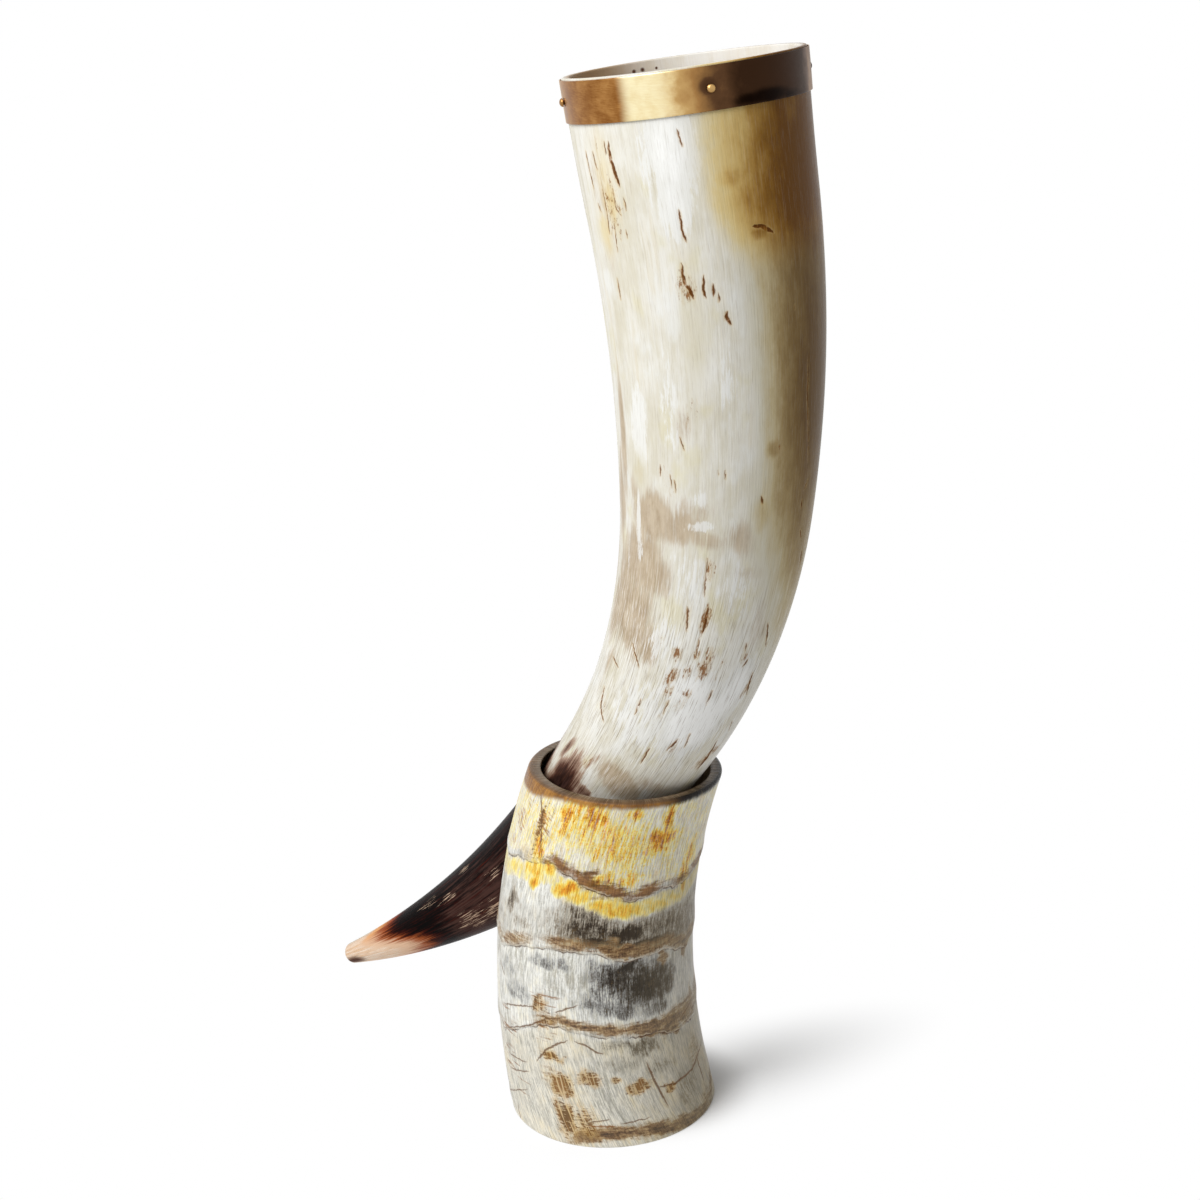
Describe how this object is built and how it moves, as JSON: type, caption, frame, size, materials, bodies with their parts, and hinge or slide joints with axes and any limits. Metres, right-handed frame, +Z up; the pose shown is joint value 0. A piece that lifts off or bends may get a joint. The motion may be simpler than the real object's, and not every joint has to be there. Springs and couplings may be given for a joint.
{
  "type": "drinking horn",
  "caption": "Curved, polished drinking horn with a nailed brass rim, standing in a short stand of horn through whose side its tip comes out.",
  "frame": {"origin": "bottom centre of the whole object's box, on the surface that the stand stands on", "axes": "+Z up; the horn curves in the X-Z plane, its tip points to -X and its mouth opens upwards"},
  "size_m": [0.2206, 0.0914, 0.4376],
  "materials": {
    "polished_horn": "polished natural horn, cream with tan, amber and dark brown zones, nearly black towards the tip",
    "stand_horn": "brushed and lightly polished horn with wavy brown growth ridges and grey, white and amber bands",
    "brass": "satin brass, a little tarnished"
  },
  "bodies": {
    "stand": {"stand": "stand_horn"},
    "horn": {"drinking_horn": "polished_horn", "rim_band": "brass", "rim_nail_front": "brass", "rim_nail_right": "brass", "rim_nail_back": "brass", "rim_nail_left": "brass"}
  },
  "joints": [
    {"name": "lift_out", "type": "hinge", "parent": "stand", "child": "horn", "pos_m": [-0.28097, 0, 0.36932], "axis": [0, -1, 0], "range_deg": [0, 32]}
  ]
}
